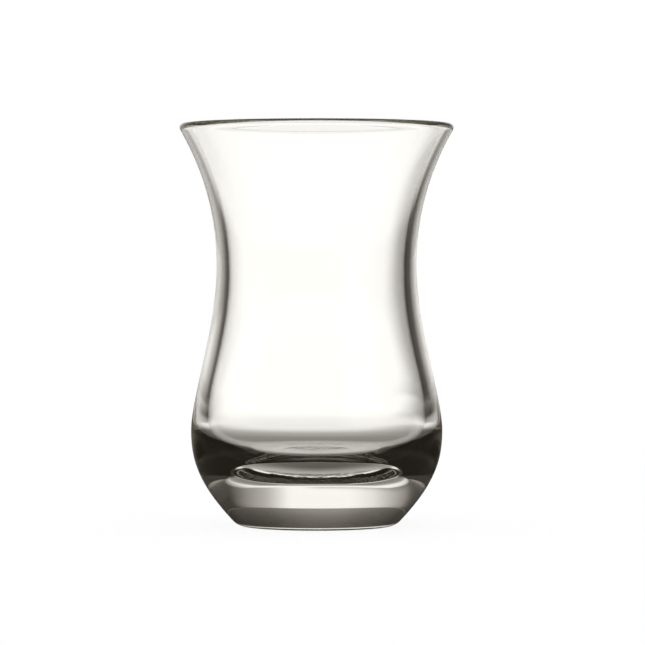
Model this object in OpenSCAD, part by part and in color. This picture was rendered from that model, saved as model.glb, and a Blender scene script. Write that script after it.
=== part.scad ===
// Small clear tea glass with a flared rim, a narrow waist, a round belly and a thick solid base.
// It is one body of glass, turned about the Z axis and standing on z = 0.

/* [Whole glass] */
// Height from the bearing ring to the top of the lip
height = 88; // [86:0.5:92]
// Outer diameter at the lip
rim_d = 60; // [58:0.5:63]
// Outer diameter of the waist
waist_d = 43.8; // [43:0.2:46]
// Height of the waist outside
waist_z = 56.9; // [54:0.5:59]
// Outer diameter of the belly
belly_d = 55; // [54:0.5:58]
// Height of the widest part of the belly outside
belly_z = 20.9; // [19:0.5:23]

/* [Lip] */
// Thickness of the rounded lip
lip_t = 2; // [1.6:0.1:2.4]
// Lean of the wall below the lip, from upright, in degrees
lip_lean = 30; // [25:1:33]

/* [Foot] */
// Outer diameter of the flat bearing ring
foot_d = 31.4; // [30:0.1:33]
// Radius of the rounded heel above the ring
heel_r = 3.6; // [2:0.1:5]
// Lean of the wall above the heel, from upright, in degrees
heel_lean = 43.3; // [41:0.1:45]
// Diameter of the recess under the base
recess_d = 18.4; // [15:0.2:24]
// Depth of the recess under the base
recess_h = 0.5; // [0.2:0.1:1.5]

/* [Bowl inside] */
// Inner diameter of the waist
bowl_waist_d = 38.6; // [37.5:0.1:39.5]
// Height of the waist inside
bowl_waist_z = 55.3; // [53:0.5:57]
// Widest inner diameter of the bowl
bowl_d = 48; // [46.5:0.1:48.5]
// Height of the widest part of the bowl inside
bowl_z = 22.9; // [21.5:0.1:25]
// Height of the middle of the bowl's floor above the bearing ring, which is the thickness of the base
floor_z = 11.9; // [9:0.1:13]
// Diameter of the bowl's floor, inside the rounded corner
floor_d = 23.9; // [22:0.1:28]
// Rise of the floor from its middle to its edge
floor_rise = 0.45; // [0.3:0.05:1.2]
// Slope of the floor at its edge, from level, in degrees
floor_slope = 8.4; // [4:0.2:16]

/* [Hidden] */
// Distances over which each wall curve keeps the direction it starts with
heel_pull = 11.4;
belly_pull_down = 6.1;
belly_pull_up = 7.1;
waist_pull_down = 13.3;
waist_pull_up = 12;
lip_pull = 9;
bowl_pull_down = 5.8;
bowl_pull_up = 9.3;
bowl_waist_pull_down = 14.2;
bowl_waist_pull_up = 13.7;
bowl_lip_pull = 8.4;
corner_pull = 8;
floor_edge_pull = 2.4;
floor_pull = 5.8;

// Points on each long curve, on each small round and on the recess
curve_steps = 22;
round_steps = 12;
recess_steps = 12;
turn_fn = 128;

lip_r = lip_t / 2;
lip_at = [rim_d / 2 - lip_r, height - lip_r];
lip_along = [sin(lip_lean), cos(lip_lean)];
lip_across = [cos(lip_lean), -sin(lip_lean)];
lip_outer = lip_at + lip_r * lip_across;
lip_inner = lip_at - lip_r * lip_across;

heel_at = [foot_d / 2, heel_r];
heel_along = [sin(heel_lean), cos(heel_lean)];
heel_end = heel_at + heel_r * [cos(heel_lean), -sin(heel_lean)];

upward = [0, 1];
outward = [1, 0];
belly = [belly_d / 2, belly_z];
waist = [waist_d / 2, waist_z];
bowl = [bowl_d / 2, bowl_z];
bowl_waist = [bowl_waist_d / 2, bowl_waist_z];
floor_edge = [floor_d / 2, floor_z + floor_rise];
floor_inward = [-cos(floor_slope), -sin(floor_slope)];
floor_middle = [0, floor_z];

// Cubic curve from a to d, leaving a towards b and reaching d from c, without its first point
function curve(a, b, c, d, steps) = [
    for (i = [1:steps])
        let (t = i / steps, s = 1 - t)
            s * s * s * a + 3 * s * s * t * b + 3 * s * t * t * c + t * t * t * d
];

// Arc about a centre from one angle to another, with both ends
function arc(centre, r, from, to, steps) = [
    for (i = [0:steps])
        let (angle = from + (to - from) * i / steps)
            centre + r * [cos(angle), sin(angle)]
];

// Underside: the shallow domed recess, from the axis out to the bearing ring
function recess_points() = [
    for (i = [0:recess_steps])
        let (share = i / recess_steps)
            [share * recess_d / 2, recess_h * (1 - share * share)]
];

// Outside: heel, belly, waist and flare, up to the lip
function outer_points() = concat(
    arc(heel_at, heel_r, -90, -heel_lean, round_steps),
    curve(heel_end, heel_end + heel_pull * heel_along, belly - belly_pull_down * upward, belly, curve_steps),
    curve(belly, belly + belly_pull_up * upward, waist - waist_pull_down * upward, waist, curve_steps),
    curve(waist, waist + waist_pull_up * upward, lip_outer - lip_pull * lip_along, lip_outer, curve_steps)
);

// Lip: a half round between the two walls, without the ends that the walls already have
function lip_points() = [
    for (i = [1:round_steps - 1])
        let (angle = -lip_lean + 180 * i / round_steps)
            lip_at + lip_r * [cos(angle), sin(angle)]
];

// Inside: flare, waist, belly of the bowl, the corner at its bottom and the nearly level floor
function inner_points() = concat(
    [lip_inner],
    curve(lip_inner, lip_inner - bowl_lip_pull * lip_along,
        bowl_waist + bowl_waist_pull_up * upward, bowl_waist, curve_steps),
    curve(bowl_waist, bowl_waist - bowl_waist_pull_down * upward,
        bowl + bowl_pull_up * upward, bowl, curve_steps),
    curve(bowl, bowl - bowl_pull_down * upward, floor_edge - corner_pull * floor_inward, floor_edge, curve_steps),
    curve(floor_edge, floor_edge + floor_edge_pull * floor_inward,
        floor_middle + floor_pull * outward, floor_middle, round_steps)
);

// The whole glass: one turned section, thick at the base, rounded at the lip and recessed underneath
module glass_body() {
    color([0.86, 0.93, 0.92, 0.45])
        rotate_extrude($fn = turn_fn)
            polygon(concat(recess_points(), outer_points(), lip_points(), inner_points()));
}

glass_body();
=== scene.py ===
import math

import bpy
import numpy as np
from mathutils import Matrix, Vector, noise


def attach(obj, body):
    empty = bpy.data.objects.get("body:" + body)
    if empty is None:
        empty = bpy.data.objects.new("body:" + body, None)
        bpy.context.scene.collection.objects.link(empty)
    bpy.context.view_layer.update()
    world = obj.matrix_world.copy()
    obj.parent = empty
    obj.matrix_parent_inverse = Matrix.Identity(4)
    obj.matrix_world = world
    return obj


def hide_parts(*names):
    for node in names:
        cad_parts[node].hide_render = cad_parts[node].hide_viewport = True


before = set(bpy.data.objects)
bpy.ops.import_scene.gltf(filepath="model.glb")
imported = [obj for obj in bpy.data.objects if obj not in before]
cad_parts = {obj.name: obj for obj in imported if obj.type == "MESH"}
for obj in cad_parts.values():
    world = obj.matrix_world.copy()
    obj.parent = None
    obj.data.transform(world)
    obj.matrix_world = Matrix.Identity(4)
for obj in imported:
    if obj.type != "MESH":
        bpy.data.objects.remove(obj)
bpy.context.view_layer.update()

# ---- The glass: its section in millimetres. A pair is a radius and a height. ----
HEIGHT, RIM_D, LIP_T, LIP_LEAN = 88, 60, 2, 30
WAIST, BELLY = (21.9, 56.9), (27.5, 20.9)
FOOT_D, HEEL_R, HEEL_LEAN = 31.4, 3.6, 43.3
RECESS_D, RECESS_H = 18.4, 0.5
BOWL_WAIST, BOWL = (19.3, 55.3), (24, 22.9)
FLOOR_Z, FLOOR_D, FLOOR_RISE, FLOOR_SLOPE = 11.9, 23.9, 0.45, 8.4
# Distances over which each wall curve keeps the direction that it starts or ends with
HEEL_PULL = 11.4
BELLY_PULL_DOWN, BELLY_PULL_UP = 6.1, 7.1
WAIST_PULL_DOWN, WAIST_PULL_UP = 13.3, 12
LIP_PULL, BOWL_LIP_PULL = 9, 8.4
BOWL_WAIST_PULL_UP, BOWL_WAIST_PULL_DOWN = 13.7, 14.2
BOWL_PULL_UP, BOWL_PULL_DOWN = 9.3, 5.8
CORNER_PULL, FLOOR_EDGE_PULL, FLOOR_PULL = 8, 2.4, 5.8
# Steps of the mesh around the axis, rings over the recess and steps along the rest of the section
TURN_STEPS, RECESS_RINGS = 256, 56
RING_STEPS, HEEL_STEPS, WALL_STEPS, LIP_STEPS, BOTTOM_STEPS = 35, 16, 44, 24, 72
# The mesh is narrower by this factor, so that it stays inside the box of the coarser CAD mesh
FIT = 0.9995
# Wrinkles under the base: cells of noise per millimetre, place in the noise, and height in millimetres
WRINKLES = [(0.35, 3.1, 0.05), (1.1, 7.7, 0.035)]
# Millimetres in a metre
MM = 1000


def arc(centre, r, start, end, steps):
    """Points on an arc, with both ends. Angles in degrees."""
    a = np.radians(np.linspace(start, end, steps + 1))
    return np.array(centre) + r * np.stack([np.cos(a), np.sin(a)], 1)


def bend(start, leaving, pull, end, leaving_end, end_pull, steps):
    """Cubic curve between two points, without the first. Each end has its own direction and its own pull."""
    a, d = np.array(start, float), np.array(end, float)
    b = a + pull * np.array(leaving, float)
    c = d + end_pull * np.array(leaving_end, float)
    t = (np.arange(1, steps + 1) / steps)[:, None]
    s = 1 - t
    return s**3 * a + 3 * s * s * t * b + 3 * s * t * t * c + t**3 * d


def lean(degrees):
    """Direction that leans outwards from upright."""
    a = math.radians(degrees)
    return np.array([math.sin(a), math.cos(a)])


def glass_section():
    """Outline from the underside's middle out and up, over the lip and down to the middle of the floor."""
    up, down, out = (0, 1), (0, -1), (1, 0)
    lip_r = LIP_T / 2
    lip_at = np.array([RIM_D / 2 - lip_r, HEIGHT - lip_r])
    lip_up = lean(LIP_LEAN)
    lip_across = np.array([lip_up[1], -lip_up[0]])
    lip_outer, lip_inner = lip_at + lip_r * lip_across, lip_at - lip_r * lip_across
    heel_at = np.array([FOOT_D / 2, HEEL_R])
    heel_up = lean(HEEL_LEAN)
    heel_end = heel_at + HEEL_R * np.array([heel_up[1], -heel_up[0]])
    floor_edge = np.array([FLOOR_D / 2, FLOOR_Z + FLOOR_RISE])
    slope = math.radians(FLOOR_SLOPE)
    inward = np.array([-math.cos(slope), -math.sin(slope)])
    middle = (0, FLOOR_Z)
    share = np.linspace(0, 1, RECESS_RINGS)
    recess = np.stack([share * RECESS_D / 2, RECESS_H * (1 - share**2)], 1)
    ring_r = np.linspace(RECESS_D / 2, FOOT_D / 2, RING_STEPS + 1)[1:-1]
    return np.vstack([
        recess,
        np.stack([ring_r, np.zeros(len(ring_r))], 1),
        arc(heel_at, HEEL_R, -90, -HEEL_LEAN, HEEL_STEPS),
        bend(heel_end, heel_up, HEEL_PULL, BELLY, down, BELLY_PULL_DOWN, WALL_STEPS),
        bend(BELLY, up, BELLY_PULL_UP, WAIST, down, WAIST_PULL_DOWN, WALL_STEPS),
        bend(WAIST, up, WAIST_PULL_UP, lip_outer, -lip_up, LIP_PULL, WALL_STEPS),
        arc(lip_at, lip_r, -LIP_LEAN, 180 - LIP_LEAN, LIP_STEPS)[1:],
        bend(lip_inner, -lip_up, BOWL_LIP_PULL, BOWL_WAIST, up, BOWL_WAIST_PULL_UP, WALL_STEPS),
        bend(BOWL_WAIST, down, BOWL_WAIST_PULL_DOWN, BOWL, up, BOWL_PULL_UP, WALL_STEPS),
        bend(BOWL, down, BOWL_PULL_DOWN, floor_edge, -inward, CORNER_PULL, BOTTOM_STEPS),
        bend(floor_edge, inward, FLOOR_EDGE_PULL, middle, out, FLOOR_PULL, BOTTOM_STEPS),
    ])


def wrinkle(x, y):
    """Height in millimetres that the cold mould's wrinkles add, dying out at the recess's edge."""
    r = math.hypot(x, y) / (RECESS_D / 2)
    if r >= 1:
        return 0
    height = 0
    for cells, place, size in WRINKLES:
        height += size * noise.noise(Vector((x * cells, y * cells, place)))
    return height * (1 - r**6)


def turned(name, section):
    """The section turned about Z: a closed mesh in metres, wound outwards, with wrinkles in the recess."""
    verts, rings, faces = [], [], []
    angles = [2 * math.pi * j / TURN_STEPS for j in range(TURN_STEPS)]
    for i, (r, z) in enumerate(section):
        on_axis = r <= 1e-6
        rings.append(range(len(verts), len(verts) + (1 if on_axis else TURN_STEPS)))
        for a in angles[:len(rings[-1])]:
            x, y = FIT * r * math.cos(a), FIT * r * math.sin(a)
            relief = wrinkle(x, y) if i < RECESS_RINGS else 0
            verts.append((x / MM, y / MM, (z + relief) / MM))
    for low, high in zip(rings, rings[1:]):
        for j in range(TURN_STEPS):
            k = (j + 1) % TURN_STEPS
            if len(low) == 1:
                faces.append((low[0], high[k], high[j]))
            elif len(high) == 1:
                faces.append((low[j], low[k], high[0]))
            else:
                faces.append((low[j], low[k], high[k], high[j]))
    mesh = bpy.data.meshes.new(name)
    mesh.from_pydata(verts, [], faces)
    mesh.polygons.foreach_set("use_smooth", [True] * len(mesh.polygons))
    mesh.update()
    piece = bpy.data.objects.new(name, mesh)
    bpy.context.scene.collection.objects.link(piece)
    return piece


def glass_material():
    """Clear polished glass, a little darker and browner where it is thick."""
    material = bpy.data.materials.new("clear_glass")
    material.use_nodes = True
    nodes, links = material.node_tree.nodes, material.node_tree.links
    shader = nodes["Principled BSDF"].inputs
    shader["Base Color"].default_value = (1, 1, 1, 1)
    shader["Roughness"].default_value = 0
    shader["IOR"].default_value = 1.52
    shader["Transmission Weight"].default_value = 1
    tint = nodes.new("ShaderNodeVolumeAbsorption")
    tint.inputs["Color"].default_value = (0.70, 0.68, 0.62, 1)
    tint.inputs["Density"].default_value = 12
    links.new(tint.outputs["Volume"], nodes["Material Output"].inputs["Volume"])
    return material


glass = turned("tea_glass", glass_section())
glass.data.materials.append(glass_material())
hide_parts("glass_body")
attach(glass, "root")

# ---- The studio, as rays in the glass see it: tables of (place, brightness) ----
# Most surfaces that a ray may meet
MAX_DEPTH = 128
# By azimuth in degrees, 0 straight behind the glass: an upright panel, what stands above it, and the painted
# light on the floor near the glass, for rays that meet it at a low angle
PANEL = [(-180, 0.05), (-60, 0.05), (-50, 0.06), (-45, 0.06), (-42, 0.08), (-39, 0.16), (-36, 0.31),
         (-32, 0.43), (-28, 0.56), (-24, 0.72), (-20, 0.88), (-16, 0.98), (-11, 1.08), (9, 1.08),
         (12, 0.86), (16, 0.6), (18, 0.5), (22, 0.4), (26, 0.3), (30, 0.18), (34, 0.07), (38, 0.035),
         (42, 0.04), (46, 0.03), (60, 0.05), (180, 0.05)]
HIGH = [(-180, 0.1), (-60, 0.3), (-50, 0.5), (-40, 0.65), (-30, 0.74), (-20, 0.82), (-13, 0.97), (-9, 1.03),
        (0, 1.0), (7, 0.9), (11, 0.8), (15, 0.73), (20, 0.58), (35, 0.5), (45, 0.5), (60, 0.3), (180, 0.1)]
NEAR_FLOOR = [(-180, 0.05), (-54, 0.05), (-46, 0.2), (-40, 0.36), (-33, 0.62), (-29, 0.82), (-23, 0.98),
              (-17, 1.08), (13, 1.08), (18, 0.8), (23, 0.55), (29, 0.35), (36, 0.15), (44, 0.06),
              (54, 0.05), (180, 0.05)]
# Factors by azimuth, for light along the outside of one wall and for light through both walls
WALL = [(-180, 1.0), (-46, 1.0), (-40, 0.75), (-35, 0.66), (-20, 0.67), (-8, 0.63), (-1, 0.64), (2, 0.8),
        (5, 1.0), (180, 1.0)]
CLEAR = [(-180, 1.0), (-36, 1.0), (-30, 1.08), (-26, 1.2), (-22, 1.25), (-16, 1.15), (-10, 1.0), (180, 1.0)]
# The same panel stands narrower at the left and at the front right: azimuth of each, and how much narrower
SIDE_PANELS, NARROWER = (-90, 135), 1.3
# By elevation in degrees: the panel's brightness, the shares of what stands above it, of low light and of
# light along a wall, the light straight above, and the even room
RISE = [(-90, 1.0), (20, 1.0), (24, 0.7), (26, 0.42), (28, 0.36), (31, 0.26), (35, 0.195), (39, 0.16),
        (45, 0.13), (90, 0.1)]
PANEL_TOP = [(-90, 0.0), (23, 0.0), (27, 1.0), (90, 1.0)]
LOW = [(-90, 1.0), (9, 1.0), (13, 0.0), (90, 0.0)]
WALL_LIGHT = [(-90, 1.0), (0.3, 1.0), (1.5, 0.5), (3, 0.0), (90, 0.0)]
ABOVE = [(-90, 0.0), (76, 0.0), (79, 0.35), (82, 0.75), (90, 0.9)]
ROOM = [(-90, 0.75), (25, 0.75), (32, 0.6), (38, 0.3), (44, 0.1), (50, 0.03), (90, 0.01)]
# By Ray Depth in the world: how light fades with the surfaces met, the same for low light, the paths that
# show the light above, and those led along inside the wall or the lip, which end in the even room
DEEP = [(0, 1.0), (2, 1.0), (3, 0.8), (4, 1.0), (5, 1.0), (6, 0.17), (7, 0.17), (8, 0.12), (9, 0.05),
        (10, 0.02), (12, 0.02)]
DEEP_LOW = [(0, 1.0), (2, 1.0), (3, 0.8), (4, 1.0), (5, 1.0), (6, 1.0), (7, 0.25), (8, 0.12), (9, 0.05),
            (10, 0.02), (12, 0.02)]
ABOVE_DEPTH = [(0, 0.0), (7, 0.0), (8, 1.0), (10, 1.0), (11, 0.0), (MAX_DEPTH, 0.0)]
GUIDED_FAR = [(0, 0.0), (24, 0.0), (29, 1.0), (MAX_DEPTH, 1.0)]
# By Ray Depth on the floor: how its painted light fades, and the paths led along inside the wall or the lip
FLOOR_DEEP = [(0, 1.0), (5, 1.0), (6, 0.03), (11, 0.02)]
GUIDED = [(0, 0.0), (13, 0.0), (16, 1.0), (MAX_DEPTH, 1.0)]
# On the floor by distance from the axis in metres: its brightness, darker near the glass as a painted shadow,
# the shares of the far floor, of the one close to the glass, of the one that a steep ray can meet and of the
# one under the base, the share of guided light, and the painted shade of the foot
PAINTED_GLASS_SHADOW = [(0, 0.3), (0.018, 0.27), (0.022, 0.24), (0.030, 0.26), (0.041, 0.32), (0.050, 0.5),
               (0.056, 0.72), (0.065, 0.85), (0.079, 0.95), (0.09, 1.0), (3, 1.0)]
FAR_FLOOR = [(0, 0.0), (0.3, 0.0), (0.45, 1.0), (3, 1.0)]
CLOSE_FLOOR = [(0, 1.0), (0.042, 1.0), (0.07, 0.0), (3, 0.0)]
STEEP_FLOOR = [(0, 0.0), (0.055, 0.0), (0.08, 1.0), (3, 1.0)]
UNDER_BASE = [(0, 1.0), (0.0165, 1.0), (0.018, 0.0), (3, 0.0)]
GUIDED_FLOOR = [(0, 0.15), (0.030, 0.15), (0.040, 1.0), (3, 1.0)]
PAINTED_FOOT_SHADE = [(0, 0.0), (0.0175, 0.0), (0.018, 1.0), (0.06, 1.0), (0.09, 0.0), (3, 0.0)]
# By the sine of a ray's angle to the floor: the shares of painted light from well above and of the foot's
# painted shade
STEEP = [(0, 0.0), (0.17, 0.0), (0.24, 1.0), (1, 1.0)]
STEEP_SHADE = [(0, 0.0), (0.14, 0.0), (0.19, 1.0), (1, 1.0)]
# Painted light and shade under the base, lit from behind: brightness by y in metres, and by x too where it is
# in front, as the share by y says
UNDER_Y = [(-0.017, 0.08), (-0.0125, 0.1), (-0.011, 0.15), (-0.009, 0.23), (-0.007, 0.36), (-0.004, 0.48),
           (0, 0.5), (0.0125, 0.5), (0.0145, 0.38), (0.016, 0.3), (0.017, 0.28)]
UNDER_X = [(-0.017, 1.0), (-0.0155, 1.0), (-0.010, 0.78), (0, 0.48), (0.012, 0.6), (0.017, 0.6)]
UNDER_FRONT = [(-3, 1.0), (-0.004, 1.0), (0, 0.0), (3, 0.0)]
UNDER_X_GAIN = 1.65
# The floor's painted brightness from well above, through the wall alone and for guided light, and what the
# foot's painted shade and the polished outside, painted to mirror little of the floor, leave of it
FROM_ABOVE, ONE_WALL, GUIDED_LIGHT, SHADE, MIRRORED = 0.95, 0.98, 0.75, 0.3, 0.12
# The backlight makes up for what the surfaces of the glass take; the gloom is the least that any ray sees
BACKLIGHT, GLOOM = 1.12, 0.014
# The dim room is a little brown: scale and power of the brightness for red, green and blue
BROWN = [(1.015, 0.965), (1.0, 1.0), (0.955, 1.035)]
# The share of the floor's white that the camera sees as lit, and so in shadow where the glass shades it
CAMERA_SHARE = 0.25
# Half the floor's width in metres. It lies just below the bearing ring, so that they don't share a plane.
FLOOR_HALF, FLOOR_DROP = 3.0, 0.00002


class Nodes:
    """Short ways to add nodes to one tree, and what its Light Path node says.

    Ray Depth is the number of surfaces that a ray has met, and in a world one more: the extra.
    """

    def __init__(self, tree, extra):
        self.tree, self.extra = tree, extra
        tree.nodes.clear()
        self.path = self.add("ShaderNodeLightPath").outputs
        self.depth = self.path["Ray Depth"]
        self.inside = self.math("GREATER_THAN", self.path["Transmission Depth"], 0.5)

    def add(self, kind, **values):
        node = self.tree.nodes.new(kind)
        for key, value in values.items():
            setattr(node, key, value)
        return node

    def set(self, socket, value):
        """Link a socket to another, or give it a value."""
        if isinstance(value, bpy.types.NodeSocket):
            self.tree.links.new(value, socket)
        else:
            socket.default_value = value

    def math(self, operation, *values):
        node = self.add("ShaderNodeMath", operation=operation)
        for socket, value in zip(node.inputs, values):
            self.set(socket, value)
        return node.outputs[0]

    def times(self, first, *others):
        for other in others:
            first = self.math("MULTIPLY", first, other)
        return first

    def mix(self, share, a, b):
        """a where share is 0 and b where it is 1."""
        return self.math("ADD", self.times(a, self.math("SUBTRACT", 1.0, share)), self.times(b, share))

    def ramp(self, value, stops):
        """Brightness read off a line through (place, brightness) stops."""
        low, high = stops[0][0], stops[-1][0]
        spread = self.add("ShaderNodeMapRange")
        self.set(spread.inputs["Value"], value)
        spread.inputs["From Min"].default_value = low
        spread.inputs["From Max"].default_value = high
        ramp = self.add("ShaderNodeValToRGB")
        self.set(ramp.inputs[0], spread.outputs[0])
        points = ramp.color_ramp.elements
        while len(points) > 1:
            points.remove(points[-1])
        for i, (place, shade) in enumerate(stops):
            at = (place - low) / (high - low)
            point = points[0] if i == 0 else points.new(at)
            point.position = at
            point.color = (shade, shade, shade, 1)
        # One number instead of a colour
        return self.times(ramp.outputs[0], 1.0)

    def met(self, surfaces):
        """1 for a ray that has met this many surfaces."""
        at = surfaces + self.extra
        peak = [(at - 0.6, 0.0), (at - 0.4, 1.0), (at + 0.4, 1.0), (at + 0.6, 0.0)]
        return self.ramp(self.depth, [(0, 0.0), *peak, (MAX_DEPTH, 0.0)])

    def met_at_most(self, surfaces):
        return self.math("LESS_THAN", self.depth, surfaces + self.extra + 0.5)

    def warm(self, brightness, share):
        """A brightness as a colour, brown by the share given and most of all where it is dim."""
        mixed = self.add("ShaderNodeCombineColor")
        for socket, (scale, power) in zip(mixed.inputs, BROWN):
            brown = self.times(self.math("POWER", brightness, power), scale)
            self.set(socket, self.mix(share, brightness, brown))
        return mixed.outputs[0]

    def azimuth(self, vector):
        """Azimuth in degrees of a direction or place, and its x, y and z."""
        split = self.add("ShaderNodeSeparateXYZ")
        self.set(split.inputs[0], vector)
        axes = split.outputs
        return self.times(self.math("ARCTAN2", axes["X"], axes["Y"]), 180 / math.pi), axes

    def panel(self, turn, table, thin):
        """Brightness of one panel. thin is the share of light that came along the outside of a wall."""
        shade = self.ramp(turn, table)
        if thin is None:
            return shade
        both_walls = self.mix(self.met(4), 1.0, self.ramp(turn, CLEAR))
        along_wall = self.mix(thin, 1.0, self.ramp(turn, WALL))
        return self.times(shade, both_walls, along_wall)

    def around(self, turn, table, thin=None):
        """Brightness by azimuth: a panel behind the glass, and side panels that only short paths in it see."""
        left, front = (self.panel(self.times(self.math("ADD", turn, -at), NARROWER), table, thin)
                       for at in SIDE_PANELS)
        sides = self.times(self.math("MAXIMUM", left, front), self.times(self.inside, self.met_at_most(4)))
        return self.math("MAXIMUM", self.panel(turn, table, thin), sides)


def studio_world():
    """Plain white light on everything. Rays in the glass or off it see the studio instead."""
    world = bpy.data.worlds.new("studio")
    world.use_nodes = True
    n = Nodes(world.node_tree, 1)
    turn, axes = n.azimuth(n.add("ShaderNodeTexCoord").outputs["Generated"])
    elevation = n.times(n.math("ARCSINE", axes["Z"]), 180 / math.pi)
    # Light along the outside of one wall, or mirrored by it
    thin = n.math("MAXIMUM", n.times(n.met(3), n.ramp(elevation, WALL_LIGHT)), n.met(1))
    panels = n.mix(n.ramp(elevation, PANEL_TOP), n.around(turn, PANEL, thin), n.around(turn, HIGH))
    studio = n.times(panels, n.ramp(elevation, RISE))
    fading = n.mix(n.ramp(elevation, LOW), n.ramp(n.depth, DEEP), n.ramp(n.depth, DEEP_LOW))
    # The light straight above shows as one bright line in the bowl's floor
    above = n.times(n.ramp(elevation, ABOVE), n.ramp(n.depth, ABOVE_DEPTH))
    studio = n.math("MAXIMUM", n.times(studio, fading), above)
    studio = n.math("MAXIMUM", n.times(studio, BACKLIGHT), GLOOM)
    studio = n.mix(n.ramp(n.depth, GUIDED_FAR), studio, n.ramp(elevation, ROOM))
    by_glass = n.math("MAXIMUM", n.path["Is Transmission Ray"], n.path["Is Glossy Ray"])
    by_glass = n.times(by_glass, n.math("LESS_THAN", n.path["Diffuse Depth"], 0.5))
    background = n.add("ShaderNodeBackground")
    n.set(background.inputs["Color"], n.warm(n.mix(by_glass, 1.0, studio), by_glass))
    n.set(n.add("ShaderNodeOutputWorld").inputs["Surface"], background.outputs[0])
    return world


def floor_material():
    """White to the camera but for the shadow. Rays in the glass or off it see the floor glow with painted
    light and shade: a table lit from behind, with a painted shadow around the glass.
    """
    material = bpy.data.materials.new("floor")
    material.use_nodes = True
    n = Nodes(material.node_tree, 0)
    position = n.add("ShaderNodeNewGeometry").outputs["Position"]
    turn, axes = n.azimuth(position)
    length = n.add("ShaderNodeVectorMath", operation="LENGTH")
    n.set(length.inputs[0], position)
    distance = length.outputs["Value"]
    steepness = n.math("SUBTRACT", 1.0, n.add("ShaderNodeLayerWeight").outputs["Facing"])
    along_wall = n.met(3)
    # Painted light on the floor by azimuth, near the glass and far from it, patterned like the panels
    near = n.mix(n.ramp(distance, CLOSE_FLOOR), n.around(turn, NEAR_FLOOR), 1.0)
    painted_table_light = n.mix(n.ramp(distance, FAR_FLOOR), near, n.around(turn, PANEL, along_wall))
    # From well above, the floor's painted light is even all round the glass, and so it is through the wall
    # alone
    painted_table_light = n.mix(n.times(n.ramp(steepness, STEEP), n.ramp(distance, STEEP_FLOOR)), painted_table_light, FROM_ABOVE)
    painted_table_light = n.mix(n.times(n.inside, n.met_at_most(2)), painted_table_light, ONE_WALL)
    # Painted shadow of the glass on the floor around its foot
    painted_table_light = n.times(painted_table_light, n.ramp(distance, PAINTED_GLASS_SHADOW))
    # Painted light under the base, brighter behind than in front
    sideways = n.mix(n.ramp(axes["Y"], UNDER_FRONT), 1.0, n.times(n.ramp(axes["X"], UNDER_X), UNDER_X_GAIN))
    painted_table_light = n.mix(n.ramp(distance, UNDER_BASE), painted_table_light, n.times(n.ramp(axes["Y"], UNDER_Y), sideways))
    painted_table_light = n.times(painted_table_light, n.ramp(n.depth, FLOOR_DEEP))
    painted_table_light = n.mix(n.times(n.ramp(n.depth, GUIDED), n.ramp(distance, GUIDED_FLOOR)), painted_table_light, GUIDED_LIGHT)
    # The heel's lowest edge shows a painted shade of the foot on the floor
    shade = n.times(along_wall, n.ramp(distance, PAINTED_FOOT_SHADE), n.ramp(steepness, STEEP_SHADE))
    painted_table_light = n.times(painted_table_light, n.mix(shade, 1.0, SHADE))
    # Painted dimming of the floor where the polished outside mirrors it
    painted_table_light = n.times(painted_table_light, n.mix(n.inside, MIRRORED, 1.0))
    painted_table_light = n.math("MAXIMUM", n.times(painted_table_light, BACKLIGHT), GLOOM)
    camera_ray = n.path["Is Camera Ray"]
    other_ray = n.math("SUBTRACT", 1.0, camera_ray)
    lit = n.add("ShaderNodeBsdfDiffuse")
    n.set(lit.inputs["Color"], n.times(camera_ray, CAMERA_SHARE))
    # For rays other than the camera's, the floor glows with its painted light and shade
    glow = n.add("ShaderNodeEmission")
    n.set(glow.inputs["Color"], n.warm(n.mix(other_ray, 1.0, painted_table_light), other_ray))
    n.set(glow.inputs["Strength"], n.mix(camera_ray, 1.0, 1 - CAMERA_SHARE))
    both = n.add("ShaderNodeAddShader")
    n.set(both.inputs[0], lit.outputs[0])
    n.set(both.inputs[1], glow.outputs[0])
    n.set(n.add("ShaderNodeOutputMaterial").inputs["Surface"], both.outputs[0])
    return material


scene = bpy.context.scene
scene.world = studio_world()
floor_mesh = bpy.data.meshes.new("floor")
corners = [(-1, -1), (1, -1), (1, 1), (-1, 1)]
floor_mesh.from_pydata([(x * FLOOR_HALF, y * FLOOR_HALF, 0) for x, y in corners], [], [(0, 1, 2, 3)])
floor_mesh.materials.append(floor_material())
floor = bpy.data.objects.new("floor", floor_mesh)
floor.location.z = -FLOOR_DROP
scene.collection.objects.link(floor)

# ---- The camera: a long lens, a little above the middle of the glass ----
DISTANCE, PITCH, SENSOR = 0.8, math.radians(0.952), 36
PIXELS_PER_MM, FRAME = 4.570, 645
# Where the axis and the middle of the height fall in the frame, in pixels from its left and from its top
AXIS_PX, MIDDLE_PX = 316.7, 324.65
camera = bpy.data.objects.new("camera", bpy.data.cameras.new("camera"))
scene.collection.objects.link(camera)
scene.camera = camera
camera.data.sensor_width = SENSOR
camera.data.lens = PIXELS_PER_MM * DISTANCE * MM / FRAME * SENSOR
back = Vector((0, -math.cos(PITCH), math.sin(PITCH)))
camera.location = Vector((0, 0, HEIGHT / 2 / MM)) + back * DISTANCE
camera.rotation_mode = "QUATERNION"
camera.rotation_quaternion = (-back).to_track_quat("-Z", "Y")
camera.data.shift_x = -(AXIS_PX - FRAME / 2) / FRAME
camera.data.shift_y = (MIDDLE_PX - FRAME / 2) / FRAME
camera.data.clip_start = 0.01

scene.view_settings.view_transform = "Standard"
scene.cycles.max_bounces = MAX_DEPTH
scene.cycles.transmission_bounces = MAX_DEPTH
scene.cycles.glossy_bounces = MAX_DEPTH
scene.cycles.blur_glossy = 0
scene.cycles.sample_clamp_indirect = 0
scene.cycles.use_denoising = True
